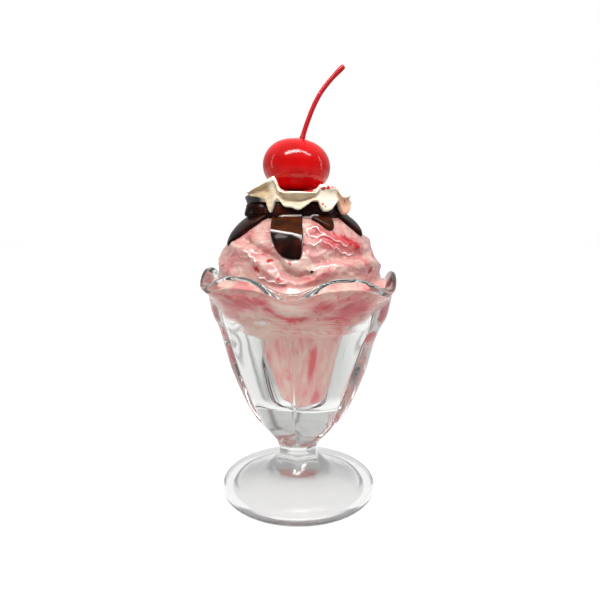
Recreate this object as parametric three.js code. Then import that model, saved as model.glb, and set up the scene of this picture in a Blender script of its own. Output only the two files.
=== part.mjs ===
// Ice cream sundae in a footed tulip dish of pressed glass: strawberry ripple
// ice cream mounded over the rim, a fudge cap that runs down in drips, a squashed
// rosette of whipped cream and a cherry on its stalk.
// Millimetres, +Z up, the dish stands on z = 0 with its axis on Z.
// Azimuths are in degrees from the front (-Y), growing towards +X.
import * as THREE from "three";

// ---- shared helpers -------------------------------------------------------

const rad = THREE.MathUtils.degToRad;
const mix = THREE.MathUtils.lerp;
const smooth = (x, a, b) => THREE.MathUtils.smoothstep(x, a, b);
const bump = (x, width) => Math.exp(-((x / width) ** 2));

// A smooth curve through [x, y, ...] rows sorted by x, that never overshoots.
function through(rows, column = 1) {
  const x = rows.map((row) => row[0]);
  const y = rows.map((row) => row[column]);
  const step = x.slice(1).map((next, i) => (y[i + 1] - y[i]) / (next - x[i]));
  const slope = x.map((_, i) => {
    const before = step[i - 1];
    const after = step[i];
    if (before === undefined) return after;
    if (after === undefined) return before;
    return before * after <= 0 ? 0 : (2 * before * after) / (before + after);
  });
  return (at) => {
    if (at <= x[0]) return y[0];
    if (at >= x[x.length - 1]) return y[y.length - 1];
    const i = x.findIndex((edge) => edge > at) - 1;
    const width = x[i + 1] - x[i];
    const t = (at - x[i]) / width;
    const from = y[i] + t * width * slope[i];
    const to = y[i + 1] - (1 - t) * width * slope[i + 1];
    return mix(from, to, t * t * (3 - 2 * t));
  };
}

// Shortest way round from azimuth b to azimuth a, -180 to 180.
const turn = (a, b) => ((((a - b) % 360) + 540) % 360) - 180;

// The same curve through [azimuth, y, ...] rows that go once round.
function around(rows, column = 1) {
  const shifted = (by) => rows.map((row) => [row[0] + by, row[column]]);
  const curve = through([...shifted(-360), ...shifted(0), ...shifted(360)]);
  return (azimuth) => curve(turn(azimuth, 0));
}

const place = (radius, azimuth, z) => [
  radius * Math.sin(rad(azimuth)),
  -radius * Math.cos(rad(azimuth)),
  z,
];

const evenly = (count, start = 0) =>
  Array.from({ length: count }, (_, i) => start + (i * 360) / count);

// A closed body from rings of points, each ring a function of the azimuth, and
// a pole that shuts each end. The rings climb the outside from pole to pole.
function ringBody(firstPole, rings, lastPole, azimuths) {
  const count = azimuths.length;
  const points = [firstPole];
  for (const ring of rings) {
    for (const azimuth of azimuths) points.push(ring(azimuth));
  }
  points.push(lastPole);
  const last = points.length - 1;
  const at = (ring, i) => 1 + ring * count + (i % count);
  const faces = [];
  for (let i = 0; i < count; i++) {
    faces.push(0, at(0, i + 1), at(0, i));
    faces.push(last, at(rings.length - 1, i), at(rings.length - 1, i + 1));
    for (let ring = 0; ring + 1 < rings.length; ring++) {
      faces.push(at(ring, i), at(ring, i + 1), at(ring + 1, i + 1));
      faces.push(at(ring, i), at(ring + 1, i + 1), at(ring + 1, i));
    }
  }
  const geometry = new THREE.BufferGeometry();
  geometry.setAttribute(
    "position",
    new THREE.Float32BufferAttribute(points.flat(), 3),
  );
  geometry.setIndex(faces);
  geometry.computeVertexNormals();
  return geometry;
}

const sundae = new THREE.Group();

function add(name, geometry, look) {
  const mesh = new THREE.Mesh(
    geometry,
    new THREE.MeshStandardMaterial({ metalness: 0, ...look }),
  );
  mesh.name = name;
  sundae.add(mesh);
}

// ---- glass: foot, stem, six pressed lobes, scalloped rim ------------------

const LOBES = 6;
const GROOVE_AZIMUTH = -4.9; // a groove faces the front, just left of it
const GLASS_COLUMNS = 54;
const LOBE_SPAN = 360 / LOBES;
const CUP_SHIFT = 0.6; // the flared cup sits this far off the stem's axis, to +X

const fromLobe = (azimuth) => {
  const lobes = (azimuth - GROOVE_AZIMUTH) / LOBE_SPAN;
  return (lobes - Math.floor(lobes) - 0.5) * LOBE_SPAN;
};

// 1 at the crest of a petal, 0 in the dip between two, flat along the crest.
const petal = (azimuth) =>
  1 - (0.5 - 0.5 * Math.cos(rad(LOBES * fromLobe(azimuth)))) ** 1.6;

// A cross section of round lobes that meet in V grooves. Where the groove is
// wider than the lobe, the same arcs open out into a hexagon.
function lobed(azimuth, lobe, groove) {
  const g = groove / lobe;
  const offset = (1 - g * g) / (2 - 2 * g * Math.cos(rad(LOBE_SPAN / 2)));
  const angle = rad(fromLobe(azimuth));
  const across = offset * Math.sin(angle);
  const along = Math.sqrt((1 - offset) ** 2 - across ** 2);
  return lobe * (offset * Math.cos(angle) + along);
}

const cupShift = (z) => CUP_SHIFT * smooth(z, 74, 88) * (1 - smooth(z, 106, 114));

function glassPoint(radius, azimuth, z) {
  const [x, y] = place(radius, azimuth, z);
  return [x + cupShift(z), y, z];
}

const round = (radius, z) => (azimuth) => glassPoint(radius, azimuth, z);

// The underside and the foot: [radius, z] from the axis out and back in.
const FOOT_HOLLOW_TOP = 8.8;
const FOOT = [
  [9, 8.5],
  [17, 6.5],
  [24.5, 3.5],
  [31.3, 0.5],
  [32.8, 0],
  [35.3, 0],
  [37.2, 0.9],
  [38, 2.6],
  [37.3, 4.3],
  [34.6, 5.1],
  [31.8, 5.1],
  [30.6, 4.9],
  [27.5, 6.1],
  [20, 9.8],
  [14.6, 12.7],
];

// Stem, bowl and cup: [z, radius on a lobe, radius in a groove].
const BOWL = [
  [15.2, 11.5, 12.3],
  [17.6, 9.5, 10.7],
  [21, 8.9, 10.2],
  [24.2, 9.5, 10.6],
  [27, 12.2, 12.0],
  [30.5, 15.7, 14.6],
  [34, 18.7, 17.1],
  [37.4, 21.7, 19.4],
  [40, 23.4, 19.9],
  [44, 25.6, 21.5],
  [50.2, 28.4, 24.3],
  [57, 31.1, 27.2],
  [64, 33.5, 29.8],
  [71, 35.3, 32.2],
  [77, 36.8, 34.3],
  [81, 38.1, 35.8],
  [84.5, 39.6, 37.3],
  [87.5, 41.3, 38.7],
  [91, 42.3, 39.5],
  [94.5, 42.9, 40.2],
  [97, 43.3, 41.6],
];

// The lip: centre of its round edge and the way it leans, on a crest and in a dip.
const LIP_RADIUS = 1.4;
const LIP = {
  radius: [43.6, 46.2],
  z: [108.1, 102.7],
  lean: [68, 34],
};
const RIM_LEAN = 0.014; // the rim stands a little higher on the left

const lipPoint = (turnAngle, reach = LIP_RADIUS) => (azimuth) => {
  const crest = petal(azimuth);
  const lean = rad(mix(LIP.lean[1], LIP.lean[0], crest) + turnAngle);
  const radius = mix(LIP.radius[1], LIP.radius[0], crest) + reach * Math.cos(lean);
  const z = mix(LIP.z[1], LIP.z[0], crest) + reach * Math.sin(lean);
  return glassPoint(radius, azimuth, z - RIM_LEAN * radius * Math.sin(rad(azimuth)));
};

// The hollow, from its floor up: [z, radius].
const HOLLOW_FLOOR = 46.4;
const HOLLOW = [
  [46.7, 7.8],
  [48.0, 11.0],
  [51.2, 13.2],
  [57, 15.0],
  [66, 17.0],
  [76, 18.8],
  [83, 20.2],
  [88, 22.0],
  [91.5, 24.6],
  [94.8, 29.2],
  [97.8, 34.4],
  [101, 38.2],
];

// The wall's inside halfway from the hollow's top edge up to the lip.
const WALL_TOP = HOLLOW[HOLLOW.length - 1];
const wallRing = (inset = 0) => (azimuth) => {
  const edge = glassPoint(WALL_TOP[1] - inset, azimuth, WALL_TOP[0] + inset);
  const lip = lipPoint(84)(azimuth);
  const [inX, inY] = place(inset, azimuth, 0);
  const end = new THREE.Vector3(lip[0] - inX, lip[1] - inY, lip[2] + inset);
  return new THREE.Vector3(...edge).lerp(end, 0.5).toArray();
};

const bowlRing = ([z, lobe, groove]) => (azimuth) => {
  const pressed = lobed(azimuth, lobe, groove);
  const waved = mix(groove, lobe, petal(azimuth));
  return glassPoint(mix(pressed, waved, smooth(z, 78, 90)), azimuth, z);
};

add(
  "glass",
  ringBody(
    [0, 0, FOOT_HOLLOW_TOP],
    [
      ...FOOT.map(([radius, z]) => round(radius, z)),
      ...BOWL.map(bowlRing),
      ...[-84, -42, 0, 42, 84].map((angle) => lipPoint(angle)),
      wallRing(),
      ...[...HOLLOW].reverse().map(([z, radius]) => round(radius, z)),
    ],
    [0, 0, HOLLOW_FLOOR],
    evenly(GLASS_COLUMNS, GROOVE_AZIMUTH),
  ),
  { color: 0xe6ecea, roughness: 0.03, transparent: true, opacity: 0.35 },
);

// ---- ice cream: fills the hollow and mounds over the rim ------------------

const GAP = 0.35;
const LEDGE_GAP = 0.55;
const DOME_Z = 104; // height of the centre that the mound is measured from

// Distance from that centre, by elevation in degrees.
const domeReach = through([
  [-10, 37.9],
  [0, 37.9],
  [12, 37.4],
  [28, 37.4],
  [40, 37.1],
  [55, 36.5],
  [90, 34.6],
]);

// Folds left by the spoon: rolled ridges and the creases under them, each a
// curve [azimuth, elevation] with its height and half width.
const FOLDS = [
  {
    path: [[-46, 33], [-24, 24.5], [-14, 19.5], [-9, 12.5], [-1, 8.5], [7, 10]],
    height: -2.2,
    width: 3.2,
  },
  {
    path: [[-62, 30], [-36, 22], [-25, 15.5], [-17, 9.5], [-6, 3.2], [1, 4.4]],
    height: 1.5,
    width: 4.2,
  },
  {
    path: [[1, 4.4], [13, 10.5], [23, 13], [36, 14.6], [58, 15.4], [80, 12]],
    height: 1.5,
    width: 4.2,
  },
  {
    path: [[9, 17], [22, 20], [38, 21.5], [60, 22]],
    height: -1.1,
    width: 3.2,
  },
  {
    path: [[-5, 34], [3, 32], [9.5, 28.6], [17, 30.5], [28, 27]],
    height: 0.9,
    width: 3.2,
  },
  {
    path: [[8, 38], [13, 42], [19, 40.8], [25, 35], [34, 30], [50, 28]],
    height: 0.9,
    width: 3.2,
  },
  {
    path: [[-95, 22], [-75, 14], [-58, 10], [-40, 6]],
    height: 1.1,
    width: 4.5,
  },
  {
    path: [[96, 30], [118, 24], [140, 14], [162, 9], [186, 13]],
    height: 1.6,
    width: 4.4,
  },
  {
    path: [[100, 22], [122, 16], [142, 6.5], [160, 2], [184, 6]],
    height: -1.9,
    width: 2.8,
  },
  {
    path: [[186, 13], [208, 22], [228, 24], [252, 18]],
    height: 1.4,
    width: 4.2,
  },
  {
    path: [[192, 32], [210, 36], [230, 33], [246, 26]],
    height: 0.9,
    width: 2.8,
  },
];

// Broad swellings: [azimuth, elevation, half width, half height, rise].
const SWELLS = [
  [-3, 18, 13, 8, 1.5],
  [-70, 20, 22, 13, 0.3],
  [32, 30, 20, 12, -0.7],
  [-30, 38, 14, 10, -0.6],
  [150, 22, 22, 12, 0.7],
  [222, 28, 20, 12, -0.6],
];

// Distance in degrees of arc from an azimuth and elevation to a curve.
function awayFrom(path, azimuth, elevation) {
  const across = Math.cos(rad(elevation));
  let nearest = Infinity;
  for (let i = 0; i + 1 < path.length; i++) {
    const px = turn(azimuth, path[i][0]) * across;
    const py = elevation - path[i][1];
    const sx = turn(path[i + 1][0], path[i][0]) * across;
    const sy = path[i + 1][1] - path[i][1];
    const t = THREE.MathUtils.clamp((px * sx + py * sy) / (sx * sx + sy * sy), 0, 1);
    nearest = Math.min(nearest, Math.hypot(px - t * sx, py - t * sy));
  }
  return nearest;
}

// Where the fudge ends on the mound, which lies smoother under it.
const CAP_EDGE = 53; // elevation where the cap ends between two drips
const SMOOTHED = 0.85; // share of the mound's relief that is pressed flat there

// Each drip: azimuth, elevation of its tip, half widths to the left and to the
// right at the cap, and how square each side is.
const DRIPS = [
  { at: -65, tip: 26.5, left: 24, right: 27, squareLeft: 1.5, squareRight: 1.3 },
  { at: -4, tip: 19.3, left: 25, right: 8, squareLeft: 2.2, squareRight: 9 },
  { at: 27.5, tip: 40.5, left: 15, right: 9, squareLeft: 1.3, squareRight: 3.5 },
  { at: 63, tip: 34.5, left: 12, right: 20, squareLeft: 1.6, squareRight: 1.6 },
  { at: 128, tip: 29, left: 17, right: 15, squareLeft: 1.8, squareRight: 2.6 },
  { at: 190, tip: 37, left: 20, right: 15, squareLeft: 1.5, squareRight: 2.2 },
  { at: 245, tip: 39, left: 16, right: 18, squareLeft: 2.4, squareRight: 1.6 },
];

function fudgeEdge(azimuth) {
  let edge = CAP_EDGE;
  for (const drip of DRIPS) {
    const away = turn(azimuth, drip.at);
    const part = Math.abs(away) / (away < 0 ? drip.left : drip.right);
    const square = away < 0 ? drip.squareLeft : drip.squareRight;
    if (part < 1) edge = Math.min(edge, mix(drip.tip, CAP_EDGE, part ** square));
  }
  return edge;
}

function moundReach(azimuth, elevation) {
  let relief = 0;
  for (const { path, height, width } of FOLDS) {
    relief += height * bump(awayFrom(path, azimuth, elevation), width);
  }
  for (const [a, e, halfWidth, halfHeight, rise] of SWELLS) {
    relief += rise * bump(turn(azimuth, a), halfWidth) * bump(elevation - e, halfHeight);
  }
  const underFudge = smooth(elevation - fudgeEdge(azimuth), -2, 4);
  return domeReach(elevation) + relief * (1 - SMOOTHED * underFudge);
}

const onMound = (azimuth, elevation, above = 0) => {
  const reach = moundReach(azimuth, elevation) + above;
  const [x, y] = place(reach * Math.cos(rad(elevation)), azimuth, 0);
  const z = DOME_Z + reach * Math.sin(rad(elevation));
  return [x + cupShift(z), y, z];
};

const fillRing = ([z, radius]) => (azimuth) =>
  glassPoint(radius - GAP, azimuth, z + GAP * 0.5);

const MOUND_ELEVATIONS = [
  2, 5, 8, 11, 14, 17, 20, 23.5, 27, 31, 35.5, 40, 45, 51, 58, 66, 78,
];

add(
  "ice_cream",
  ringBody(
    [0, 0, HOLLOW_FLOOR + GAP],
    [
      ...HOLLOW.map(fillRing),
      wallRing(LEDGE_GAP),
      ...MOUND_ELEVATIONS.map((elevation) => (azimuth) => onMound(azimuth, elevation)),
    ],
    [0, 0, DOME_Z + domeReach(90)],
    evenly(GLASS_COLUMNS, GROOVE_AZIMUTH),
  ),
  { color: 0xe9b9b4, roughness: 0.35 },
);

// ---- fudge: a pad under the cream, a thin cap, and drips off its edge -----

const FUDGE_GAP = 0.45;
const FUDGE_THICK = 1.5;
// The pad's radius: widest on the left, where it stands clear of the cream.
const padRadius = around([
  [-130, 21.9],
  [-75, 23.1],
  [-50, 22.7],
  [-32, 21.7],
  [0, 22.2],
  [60, 21.6],
  [120, 21.8],
  [170, 22.4],
]);
const PAD_TOP = 140.6;
const CAP_LAP = 1.5; // degrees that the cap's skirt reaches under the pad
const EDGE_ROUND = 4; // degrees over which a drip's edge thins out
const PAD_FLAT_RADIUS = 14;
// The pad's rounded wall: [out from its radius, down from its top].
const PAD_SIDE = [
  [0.6, 4.2],
  [0, 1.7],
  [-1.6, 0.3],
];
// Columns stand closer together where a drip has a steep side.
const FUDGE_AZIMUTHS = [
  -175, -167, -160, -152, -144, -136, -128, -122, -115, -108, -101, -95, -89, -84,
  -79, -74, -69, -64, -59, -54, -48, -43, -38, -33, -28, -24, -20, -16, -12, -8, -4,
  0, 2, 3.4, 4.4, 8, 12.5, 17, 21, 25, 29, 32, 35, 38, 43, 50, 55, 59, 63, 67, 72,
  77, 83, 92, 102, 111, 116, 121, 126, 131, 136, 140, 144, 154, 164, 170, 177,
];

// The last few degrees thin out to a rounded edge.
const thickness = (fromEdge) =>
  FUDGE_THICK * Math.sqrt(1 - (1 - Math.min(fromEdge / EDGE_ROUND, 1)) ** 2);

const skirtRing = (part, outside) => (azimuth) => {
  const edge = fudgeEdge(azimuth);
  const elevation = mix(edge, CAP_EDGE + CAP_LAP, part);
  const above = outside ? thickness(elevation - edge) : 0;
  return onMound(azimuth, elevation, FUDGE_GAP + above);
};

const fudgeRings = [
  ...[78, 66, 58].map((elevation) => (azimuth) => onMound(azimuth, elevation, FUDGE_GAP)),
  ...[1, 0.7, 0.4, 0.12].map((part) => skirtRing(part, false)),
  ...[0, 0.05, 0.14, 0.3, 0.55, 0.8, 1].map((part) => skirtRing(part, true)),
  ...PAD_SIDE.map(
    ([out, down]) => (azimuth) => place(padRadius(azimuth) + out, azimuth, PAD_TOP - down),
  ),
  (azimuth) => place(PAD_FLAT_RADIUS, azimuth, PAD_TOP),
];

add(
  "fudge_sauce",
  ringBody(
    [0, 0, DOME_Z + domeReach(90) + FUDGE_GAP],
    fudgeRings,
    [0, 0, PAD_TOP],
    FUDGE_AZIMUTHS,
  ),
  { color: 0x2a1512, roughness: 0.12 },
);

// ---- cherry ---------------------------------------------------------------

const CHERRY_CENTRE = [-1.05, -0.6, 156.04];
const CHERRY_RADIUS = 15.47;
const CHERRY_TILT = 7.7; // the stalk end leans to the right
const CHERRY_COLUMNS = 28;

// How the radius changes with the sine of the elevation: first to fourth power.
const CHERRY_OUTLINE = [0.0891, -0.1947, -0.0157, -0.0215];

function cherryPoint(azimuth, elevation) {
  const up = Math.sin(rad(elevation));
  const share = CHERRY_OUTLINE.reduce((sum, much, i) => sum + much * up ** (i + 1), 1);
  const out = CHERRY_RADIUS * share;
  const point = new THREE.Vector3(
    ...place(out * Math.cos(rad(elevation)), azimuth, out * up),
  );
  point.applyAxisAngle(new THREE.Vector3(0, 1, 0), rad(CHERRY_TILT));
  return point.add(new THREE.Vector3(...CHERRY_CENTRE)).toArray();
}

const CHERRY_ELEVATIONS = [-72, -58, -42, -27, -12, 3, 18, 32, 45, 57, 69, 80];

add(
  "cherry",
  ringBody(
    cherryPoint(0, -90),
    CHERRY_ELEVATIONS.map((elevation) => (azimuth) => cherryPoint(azimuth, elevation)),
    cherryPoint(0, 90),
    evenly(CHERRY_COLUMNS),
  ),
  { color: 0xd0101c, roughness: 0.08 },
);

// ---- whipped cream: a squashed ring of folds on the pad -------------------

const CREAM_FLOOR = PAD_TOP + GAP;
const CREAM_FLOOR_RADIUS = 12;

// Round the ring: [azimuth, reach of the lip, its underside, its crest].
const CREAM = [
  [-180, 24.4, 138.5, 147.4],
  [-165, 24.9, 140.8, 148.4],
  [-150, 24.6, 140.5, 148.2],
  [-136, 23.6, 138.0, 146.0],
  [-122, 23.6, 138.8, 146.6],
  [-110, 24.9, 140.2, 148.0],
  [-98, 24.6, 141.2, 147.2],
  [-78, 24.7, 142.8, 145.2],
  [-64, 24.9, 143.0, 145.2],
  [-58, 25.0, 142.6, 145.8],
  [-48, 25.0, 142.2, 147.0],
  [-38, 24.8, 141.5, 148.6],
  [-34, 25.0, 139.8, 149.3],
  [-30.8, 25.3, 137.0, 149.9],
  [-28.6, 25.3, 135.8, 150.3],
  [-26.6, 25.1, 137.6, 150.7],
  [-24.4, 24.7, 140.4, 149.4],
  [-21, 24.4, 141.2, 145.4],
  [-17.5, 24.6, 139.6, 144.6],
  [-12.6, 25.1, 138.0, 144.4],
  [-7, 25.2, 137.7, 144.4],
  [-0.5, 25.3, 136.8, 144.4],
  [5, 25.2, 137.8, 144.3],
  [10, 25.0, 139.2, 144.2],
  [16.6, 24.8, 140.5, 144.2],
  [19.6, 24.8, 140.4, 145.2],
  [22, 25.3, 138.2, 147.2],
  [27, 25.5, 136.2, 147.4],
  [33, 25.6, 136.8, 146.8],
  [40, 25.4, 139.6, 146.4],
  [46, 24.6, 140.6, 145.0],
  [50, 24.8, 136.6, 143.6],
  [55, 25.2, 135.0, 143.2],
  [62, 25.4, 136.2, 143.6],
  [70, 25.0, 138.6, 143.8],
  [82, 24.4, 140.4, 143.6],
  [94, 23.8, 141.4, 145.8],
  [106, 24.8, 139.6, 147.6],
  [116, 25.0, 138.0, 148.2],
  [128, 24.2, 140.4, 147.0],
  [140, 24.0, 141.0, 146.8],
  [152, 25.0, 138.4, 148.2],
  [160, 24.8, 137.6, 147.8],
];
const creamReach = around(CREAM, 1);
const creamUnder = around(CREAM, 2);
const creamTop = around(CREAM, 3);
// How far the face is drawn in between its lower and its upper lip.
const creamHollow = around([
  [-150, 1.4],
  [-122, 0.4],
  [-100, 1.2],
  [-60, 0.5],
  [-40, 1.4],
  [-27, 0.6],
  [-20, 2.2],
  [-10, 2.8],
  [8, 2.8],
  [16, 2.0],
  [20, 0.8],
  [30, 0.5],
  [45, 0.2],
  [60, 1.0],
  [80, 0.4],
  [95, 1.6],
  [116, 0.4],
  [140, 1.8],
  [165, 0.5],
]);
const PAD_CLEARANCE = 0.9;
const OVER_THE_PAD_SIDE = 137.4; // lowest that the cream's underside hugs the pad
const INNER_SLOPE_RADIUS = 17.6;
const INNER_SLOPE_TOP = 145.6;

const creamRing = (make) => (azimuth) => {
  const lip = {
    inner: padRadius(azimuth) + PAD_CLEARANCE,
    reach: creamReach(azimuth),
    under: creamUnder(azimuth),
    top: creamTop(azimuth),
    hollow: creamHollow(azimuth),
  };
  const [radius, z] = make(lip);
  return place(radius, azimuth, z);
};

// The cherry sits in the middle, in a seat of its own form.
const SEAT_ELEVATION = -58;
const SEAT_GAP = 0.35;
const seat = (azimuth, elevation) => {
  const [x, y, z] = cherryPoint(azimuth, elevation);
  return [x, y, z - SEAT_GAP];
};

const creamRings = [
  creamRing(() => [CREAM_FLOOR_RADIUS, CREAM_FLOOR]),
  creamRing(({ inner }) => [inner - PAD_CLEARANCE, CREAM_FLOOR]),
  creamRing(({ inner, under }) => [
    inner,
    Math.min(Math.max(under + 0.8, OVER_THE_PAD_SIDE), CREAM_FLOOR - 0.4),
  ]),
  creamRing(({ inner, reach, under }) => [mix(inner, reach, 0.45), under]),
  creamRing(({ reach, under, top }) => [reach, mix(under, top, 0.1)]),
  creamRing(({ reach, under, top, hollow }) => [
    reach - 0.5 - hollow,
    mix(under, top, 0.55),
  ]),
  creamRing(({ reach, under, top }) => [reach - 0.2, mix(under, top, 0.92)]),
  creamRing(({ reach, top }) => [reach - 0.9, top]),
  creamRing(({ reach, top }) => [reach - 2.2, top - 0.2]),
  creamRing(({ reach, top }) => [reach - 3.4, Math.min(top - 0.6, mix(145, top, 0.6))]),
  creamRing(({ top }) => [INNER_SLOPE_RADIUS, Math.min(top - 0.2, INNER_SLOPE_TOP)]),
  (azimuth) => seat(azimuth, SEAT_ELEVATION),
];

add(
  "whipped_cream",
  ringBody(
    [0, 0, CREAM_FLOOR],
    creamRings,
    seat(0, -90),
    CREAM.map(([azimuth]) => azimuth),
  ),
  { color: 0xf2e9d8, roughness: 0.45 },
);

// ---- the cherry's stalk ---------------------------------------------------

// The stalk's centre line, [x, z], and its radius along the way.
const STALK = new THREE.CatmullRomCurve3(
  [
    [1.65, 169.45],
    [2.9, 173.4],
    [4.6, 178.2],
    [6.7, 183.4],
    [9.9, 189.4],
    [14.4, 195.2],
    [20.3, 201.2],
  ].map(([x, z]) => new THREE.Vector3(x, -0.4 + 0.05 * (z - 170), z)),
);
const STALK_STEPS = 16;
const STALK_SIDES = 10;
const stalkRadius = through([
  [0, 1.4],
  [0.12, 1.12],
  [0.85, 1.08],
  [0.97, 1.25],
  [1, 1.05],
]);

function stalkRing(share) {
  const centre = STALK.getPointAt(share);
  const along = STALK.getTangentAt(share);
  const side = new THREE.Vector3(0, 1, 0).cross(along).normalize();
  const deep = along.clone().cross(side);
  return (azimuth) =>
    centre
      .clone()
      .addScaledVector(side, stalkRadius(share) * Math.sin(rad(azimuth)))
      .addScaledVector(deep, -stalkRadius(share) * Math.cos(rad(azimuth)))
      .toArray();
}

add(
  "cherry_stalk",
  ringBody(
    STALK.getPointAt(0).toArray(),
    Array.from({ length: STALK_STEPS + 1 }, (_, i) => stalkRing(i / STALK_STEPS)),
    STALK.getPointAt(1).toArray(),
    evenly(STALK_SIDES),
  ),
  { color: 0x9c1420, roughness: 0.3 },
);

export default sundae;
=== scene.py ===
import bpy
import math
import numpy as np
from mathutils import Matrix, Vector, noise


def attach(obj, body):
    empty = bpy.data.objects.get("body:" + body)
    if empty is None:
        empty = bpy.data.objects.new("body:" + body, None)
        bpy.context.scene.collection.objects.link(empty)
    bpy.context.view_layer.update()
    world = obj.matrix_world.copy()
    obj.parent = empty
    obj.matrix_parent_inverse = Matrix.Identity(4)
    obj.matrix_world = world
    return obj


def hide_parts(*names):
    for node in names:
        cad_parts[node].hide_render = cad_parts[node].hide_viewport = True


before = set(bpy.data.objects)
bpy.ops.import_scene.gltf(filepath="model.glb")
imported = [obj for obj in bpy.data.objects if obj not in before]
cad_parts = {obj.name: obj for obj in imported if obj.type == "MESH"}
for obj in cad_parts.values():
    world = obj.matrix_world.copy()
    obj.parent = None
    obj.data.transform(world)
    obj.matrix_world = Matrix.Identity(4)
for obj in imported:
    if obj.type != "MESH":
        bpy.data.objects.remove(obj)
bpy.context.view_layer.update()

# ---- The dish -------------------------------------------------------------
# One piece of clear soda glass, pressed in a mould: a domed foot that stands on a
# flat ring, a short six-sided stem, a bowl of six round lobes with V grooves
# between them, and a cup whose fire-polished rim flares out at six dips.

MM = 0.001
LOBES = 6
LOBE_SPAN = 360 / LOBES
GROOVE_AZIMUTH = -4.9
# The flared cup came out of the mould a little to the right, and its rim leans.
CUP_SHIFT = 0.6
RIM_LEAN = 0.014
# The lip's round edge: its radius, where its middle lies in a dip, and how far in and
# up a crest is from there.
LIP_RADIUS = 1.4
DIP_RADIUS = 46.2
DIP_Z = 102.7
CREST_IN = 2.6
CREST_UP = 5.4

# Underside and foot: radius and height, from the axis out and back in.
FOOT = [
    (9, 8.5), (17, 6.5), (24.5, 3.5), (31.3, 0.5), (32.8, 0), (35.3, 0), (37.2, 0.9), (38, 2.6),
    (37.3, 4.3), (34.6, 5.1), (31.8, 5.1), (30.6, 4.9), (27.5, 6.1), (20, 9.8), (14.6, 12.7),
]
# Stem, bowl and cup: height, radius on a lobe, radius in a groove.
BOWL = [
    (15.2, 11.5, 12.3), (17.6, 9.5, 10.7), (21, 8.9, 10.2), (24.2, 9.5, 10.6), (27, 12.2, 12.0),
    (30.5, 15.7, 14.6), (34, 18.7, 17.1), (37.4, 21.7, 19.4), (40, 23.4, 19.9), (44, 25.6, 21.5),
    (50.2, 28.4, 24.3), (57, 31.1, 27.2), (64, 33.5, 29.8), (71, 35.3, 32.2), (77, 36.8, 34.3),
    (81, 38.1, 35.8), (84.5, 39.6, 37.3), (87.5, 41.3, 38.7), (91, 42.3, 39.5), (94.5, 42.9, 40.2),
    (97, 43.3, 41.6),
]
# The hollow inside, from its floor up: height and radius.
HOLLOW_FLOOR = 46.4
HOLLOW = [
    (46.7, 7.8), (48.0, 11.0), (51.2, 13.2), (57, 15.0), (66, 17.0), (76, 18.8), (83, 20.2),
    (88, 22.0), (91.5, 24.6), (94.8, 29.2), (97.8, 34.4), (101, 38.2),
]


def soft_step(value, low, high):
    """0 below low, 1 above high, smooth between."""
    t = np.clip((value - low) / (high - low), 0, 1)
    return t * t * (3 - 2 * t)


def place(radius, azimuth, z):
    """Points in millimetres from radius, azimuth in degrees from the front, and height."""
    angle = np.radians(azimuth)
    radius, angle, z = np.broadcast_arrays(radius, angle, z)
    return np.stack([radius * np.sin(angle), -radius * np.cos(angle), z], -1).astype(float)


def off_lobe(azimuth):
    """Degrees from the middle of the nearest lobe."""
    lobes = (azimuth - GROOVE_AZIMUTH) / LOBE_SPAN
    return (lobes - np.floor(lobes) - 0.5) * LOBE_SPAN


def petal(azimuth):
    """1 on the rim's crests and 0 in its dips, broad on the crest."""
    return 1 - (0.5 - 0.5 * np.cos(np.radians(LOBES * off_lobe(azimuth)))) ** 1.6


def lobed(azimuth, lobe, groove):
    """Section of six round lobes that meet in V grooves, or of a soft hexagon."""
    share = groove / lobe
    offset = (1 - share * share) / (2 - 2 * share * math.cos(math.radians(LOBE_SPAN / 2)))
    angle = np.radians(off_lobe(azimuth))
    return lobe * (
        offset * np.cos(angle) + np.sqrt((1 - offset) ** 2 - (offset * np.sin(angle)) ** 2)
    )


def cup_shift(z):
    """How far to the right the cup stands at a height."""
    return CUP_SHIFT * soft_step(z, 74, 88) * (1 - soft_step(z, 106, 114))


def on_dish(radius, azimuth, z):
    """Points as from place, shifted with the cup."""
    points = place(radius, azimuth, z)
    points[..., 0] += cup_shift(points[..., 2])
    return points


def lip(lean, azimuth):
    """A ring on the lip, lean degrees round its edge: higher on a crest, further out in a dip."""
    crest = petal(azimuth)
    angle = np.radians(34 + 34 * crest + lean)
    radius = DIP_RADIUS - CREST_IN * crest + LIP_RADIUS * np.cos(angle)
    z = DIP_Z + CREST_UP * crest + LIP_RADIUS * np.sin(angle)
    return on_dish(radius, azimuth, z - RIM_LEAN * radius * np.sin(np.radians(azimuth)))


def wall_inside(azimuth, share, inset=0.0):
    """Inside of the flared wall, share of the way from the hollow's edge up to the lip."""
    z, radius = HOLLOW[-1]
    edge = on_dish(radius - inset, azimuth, z + inset)
    end = lip(84, azimuth) + place(-inset, azimuth, inset)
    return edge + (end - edge) * share


def faired(rings, steps):
    """More rings between the given ones, on smooth curves along the profile."""
    rings = np.asarray(rings, float)
    length = np.linalg.norm(np.diff(rings, axis=0), axis=2).mean(axis=1)
    slope = np.diff(rings, axis=0) / length[:, None, None]
    before, after = length[:-1, None, None], length[1:, None, None]
    middle = (slope[1:] * before + slope[:-1] * after) / (before + after)
    tangent = np.concatenate([slope[:1], middle, slope[-1:]])
    out = []
    for i, span in enumerate(length):
        for t in np.arange(steps) / steps:
            out.append(
                rings[i] * (1 + 2 * t) * (1 - t) ** 2
                + rings[i + 1] * t * t * (3 - 2 * t)
                + span * (tangent[i] * t * (1 - t) ** 2 - tangent[i + 1] * t * t * (1 - t))
            )
    return np.array(out + [rings[-1]])


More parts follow.
